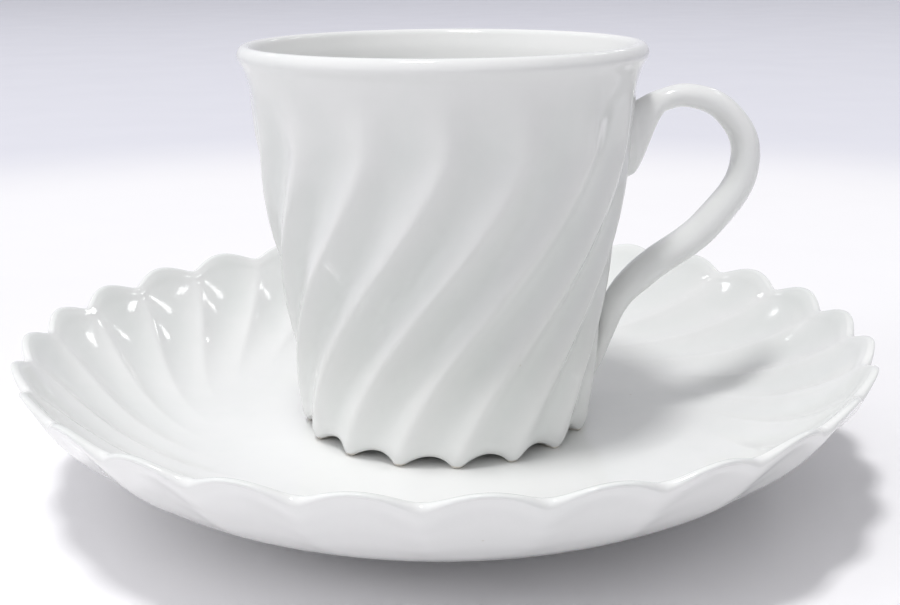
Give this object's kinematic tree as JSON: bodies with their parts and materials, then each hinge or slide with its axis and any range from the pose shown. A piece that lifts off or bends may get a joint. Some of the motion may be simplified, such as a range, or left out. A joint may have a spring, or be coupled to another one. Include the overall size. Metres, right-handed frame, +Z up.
{
  "type": "cup with saucer",
  "caption": "Small white porcelain coffee cup with swirl-fluted wall, scalloped foot and loop handle, standing on a shallow swirl-fluted saucer with a scalloped rim; the cup lifts off.",
  "frame": {"origin": "On the table, at the centre of the underside of the saucer's foot ring.", "axes": "+Z up along the axis of cup and saucer, +X towards the cup's handle."},
  "size_m": [0.1222, 0.1222, 0.0631],
  "materials": {
    "saucer_porcelain": "opaque white porcelain under a clear gloss glaze",
    "cup_porcelain": "opaque white porcelain under a clear gloss glaze"
  },
  "bodies": {
    "saucer": {"saucer": "saucer_porcelain"},
    "cup": {"cup_body": "cup_porcelain", "cup_handle": "cup_porcelain"}
  },
  "joints": [
    {"name": "cup_lift", "type": "slide", "parent": "saucer", "child": "cup", "axis": [0, 0, 1], "range_m": [0, 0.08]}
  ]
}
